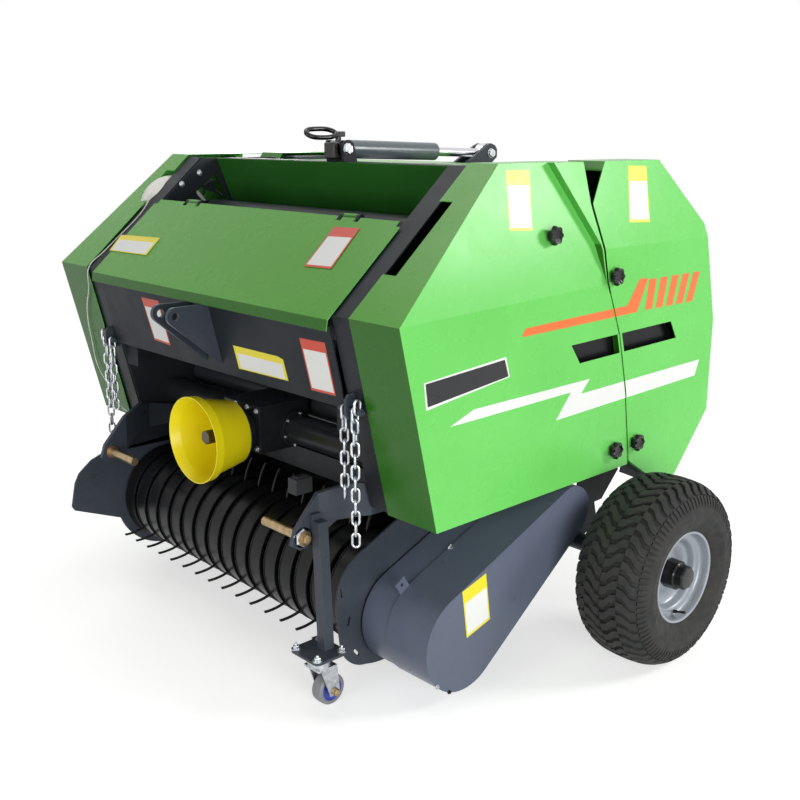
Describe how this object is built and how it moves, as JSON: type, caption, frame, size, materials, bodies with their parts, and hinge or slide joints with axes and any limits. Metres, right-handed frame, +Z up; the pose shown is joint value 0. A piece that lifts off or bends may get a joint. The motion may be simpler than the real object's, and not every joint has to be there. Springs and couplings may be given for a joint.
{
  "type": "three-point mounted round baler",
  "caption": "Small mounted round baler with a roller chamber, an opening tailgate, a tined pickup, a drive shaft guard, two wheels and a parking castor.",
  "frame": {"origin": "middle of the bounding box, on the ground", "axes": "+Z up, +X the machine's left, -Y the travel direction"},
  "size_m": [1.948, 1.272, 1.243],
  "materials": {
    "frame_paint": "semi-gloss slate-grey paint",
    "cover_paint": "gloss bright green paint",
    "knob_plastic": "moulded black plastic",
    "roller_steel": "dark paint worn by crop",
    "guard_plastic": "moulded yellow plastic",
    "bare_steel": "oiled machined steel",
    "zinc_steel": "yellow zinc plating",
    "black_paint": "gloss black paint",
    "tine_steel": "black spring steel",
    "tyre_rubber": "matt rubber",
    "rim_paint": "silver paint",
    "castor_tread": "grey tread",
    "chromed_rod": "ground and chromed",
    "cylinder_paint": "dark grey paint",
    "chain_steel": "dull galvanised steel",
    "twine_fibre": "white twisted baling twine",
    "brass_valve": "zinc-plated steel with a black lever"
  },
  "bodies": {
    "frame": {"axle": "frame_paint", "baling_twine": "twine_fibre", "castor_leg": "frame_paint", "chain_guard_base": "frame_paint", "chain_guard_cover": "frame_paint", "chain_hooks": "frame_paint", "cross_tube": "frame_paint", "front_cover_knobs": "knob_plastic", "front_cover_left": "cover_paint", "front_cover_right": "cover_paint", "front_panel": "black_paint", "gearbox": "frame_paint", "hitch_chains": "chain_steel", "hood_rail": "frame_paint", "inner_wall": "cover_paint", "link_arm_left": "frame_paint", "link_arm_right": "frame_paint", "link_pins": "zinc_steel", "lower_beam": "frame_paint", "pickup_end_left": "frame_paint", "pickup_end_right": "frame_paint", "pickup_strippers": "black_paint", "pto_guard": "guard_plastic", "side_plate_left": "frame_paint", "side_plate_right": "frame_paint", "top_beam": "frame_paint", "top_link_bracket": "frame_paint", "twine_ball": "twine_fibre"},
    "tailgate": {"rear_cover_left": "cover_paint", "rear_cover_right": "cover_paint", "rear_cover_knobs": "knob_plastic", "gate_side_plate_left": "frame_paint", "gate_side_plate_right": "frame_paint", "gate_beam": "frame_paint", "gate_panel": "cover_paint"},
    "hood": {"hood": "cover_paint"},
    "pto_shaft": {"pto_shaft": "bare_steel"},
    "pickup_reel": {"pickup_reel": "tine_steel"},
    "wheel_left": {"tyre_left": "tyre_rubber", "rim_left": "rim_paint"},
    "wheel_right": {"tyre_right": "tyre_rubber", "rim_right": "rim_paint"},
    "castor_fork": {"castor_fork": "zinc_steel"},
    "castor_wheel": {"castor_wheel": "castor_tread"},
    "cylinder_barrel": {"cylinder_barrel": "cylinder_paint", "cylinder_valve": "brass_valve"},
    "cylinder_rod": {"cylinder_rod": "chromed_rod"},
    "front_roller_1": {"front_roller_1": "roller_steel"},
    "front_roller_2": {"front_roller_2": "roller_steel"},
    "front_roller_3": {"front_roller_3": "roller_steel"},
    "front_roller_4": {"front_roller_4": "roller_steel"},
    "front_roller_5": {"front_roller_5": "roller_steel"},
    "front_roller_6": {"front_roller_6": "roller_steel"},
    "front_roller_7": {"front_roller_7": "roller_steel"},
    "gate_roller_1": {"gate_roller_1": "roller_steel"},
    "gate_roller_2": {"gate_roller_2": "roller_steel"},
    "gate_roller_3": {"gate_roller_3": "roller_steel"},
    "gate_roller_4": {"gate_roller_4": "roller_steel"},
    "gate_roller_5": {"gate_roller_5": "roller_steel"},
    "gate_roller_6": {"gate_roller_6": "roller_steel"}
  },
  "joints": [
    {"name": "tailgate_hinge", "type": "hinge", "parent": "frame", "child": "tailgate", "pos_m": [0, 0.114, 1.084], "axis": [1, 0, 0], "range_deg": [0, 36]},
    {"name": "hood_hinge", "type": "hinge", "parent": "frame", "child": "hood", "pos_m": [0, -0.292, 1.0538], "axis": [-1, 0, 0], "range_deg": [0, 140]},
    {"name": "pto_shaft_spin", "type": "hinge", "parent": "frame", "child": "pto_shaft", "pos_m": [0, -0.43, 0.5], "axis": [0, 1, 0], "continuous": true},
    {"name": "pickup_reel_spin", "type": "hinge", "parent": "frame", "child": "pickup_reel", "pos_m": [0, -0.334, 0.2], "axis": [1, 0, 0], "continuous": true},
    {"name": "wheel_left_spin", "type": "hinge", "parent": "frame", "child": "wheel_left", "pos_m": [0.878, 0.19, 0.228], "axis": [1, 0, 0], "continuous": true},
    {"name": "wheel_right_spin", "type": "hinge", "parent": "frame", "child": "wheel_right", "pos_m": [-0.878, 0.19, 0.228], "axis": [1, 0, 0], "continuous": true},
    {"name": "castor_swivel", "type": "hinge", "parent": "frame", "child": "castor_fork", "pos_m": [0.515, -0.556, 0.115], "axis": [0, 0, 1], "continuous": true},
    {"name": "castor_wheel_spin", "type": "hinge", "parent": "castor_fork", "child": "castor_wheel", "pos_m": [0.515, -0.532, 0.036], "axis": [1, 0, 0], "continuous": true},
    {"name": "cylinder_pivot", "type": "hinge", "parent": "frame", "child": "cylinder_barrel", "pos_m": [0.025, -0.076, 1.2], "axis": [1, 0, 0], "range_deg": [0, 24.5]},
    {"name": "cylinder_slide", "type": "slide", "parent": "cylinder_barrel", "child": "cylinder_rod", "axis": [0, 0.9995, -0.0307], "range_m": [-0.0935, 0]},
    {"name": "front_roller_1_spin", "type": "hinge", "parent": "frame", "child": "front_roller_1", "pos_m": [0, 0.01812, 1.09865], "axis": [1, 0, 0], "continuous": true},
    {"name": "front_roller_2_spin", "type": "hinge", "parent": "frame", "child": "front_roller_2", "pos_m": [0, -0.1265, 1.01175], "axis": [1, 0, 0], "continuous": true},
    {"name": "front_roller_3_spin", "type": "hinge", "parent": "frame", "child": "front_roller_3", "pos_m": [0, -0.21838, 0.87026], "axis": [1, 0, 0], "continuous": true},
    {"name": "front_roller_4_spin", "type": "hinge", "parent": "frame", "child": "front_roller_4", "pos_m": [0, -0.23895, 0.7028], "axis": [1, 0, 0], "continuous": true},
    {"name": "front_roller_5_spin", "type": "hinge", "parent": "frame", "child": "front_roller_5", "pos_m": [0, -0.18402, 0.54328], "axis": [1, 0, 0], "continuous": true},
    {"name": "front_roller_6_spin", "type": "hinge", "parent": "frame", "child": "front_roller_6", "pos_m": [0, 0.04328, 0.37814], "axis": [1, 0, 0], "continuous": true},
    {"name": "front_roller_7_spin", "type": "hinge", "parent": "frame", "child": "front_roller_7", "pos_m": [0, 0.21197, 0.37519], "axis": [1, 0, 0], "continuous": true},
    {"name": "gate_roller_1_spin", "type": "hinge", "parent": "tailgate", "child": "gate_roller_1", "pos_m": [0, 0.37505, 0.45473], "axis": [1, 0, 0], "continuous": true},
    {"name": "gate_roller_2_spin", "type": "hinge", "parent": "tailgate", "child": "gate_roller_2", "pos_m": [0, 0.47658, 0.58947], "axis": [1, 0, 0], "continuous": true},
    {"name": "gate_roller_3_spin", "type": "hinge", "parent": "tailgate", "child": "gate_roller_3", "pos_m": [0, 0.50877, 0.75509], "axis": [1, 0, 0], "continuous": true},
    {"name": "gate_roller_4_spin", "type": "hinge", "parent": "tailgate", "child": "gate_roller_4", "pos_m": [0, 0.46511, 0.91805], "axis": [1, 0, 0], "continuous": true},
    {"name": "gate_roller_5_spin", "type": "hinge", "parent": "tailgate", "child": "gate_roller_5", "pos_m": [0, 0.35442, 1.04538], "axis": [1, 0, 0], "continuous": true},
    {"name": "gate_roller_6_spin", "type": "hinge", "parent": "tailgate", "child": "gate_roller_6", "pos_m": [0, 0.21197, 1.10881], "axis": [1, 0, 0], "continuous": true}
  ],
  "couplings": [
    {"joint": "cylinder_pivot", "follows": "tailgate_hinge", "ratio": 0.677},
    {"joint": "cylinder_slide", "follows": "tailgate_hinge", "m_per_rad": -0.1469}
  ]
}
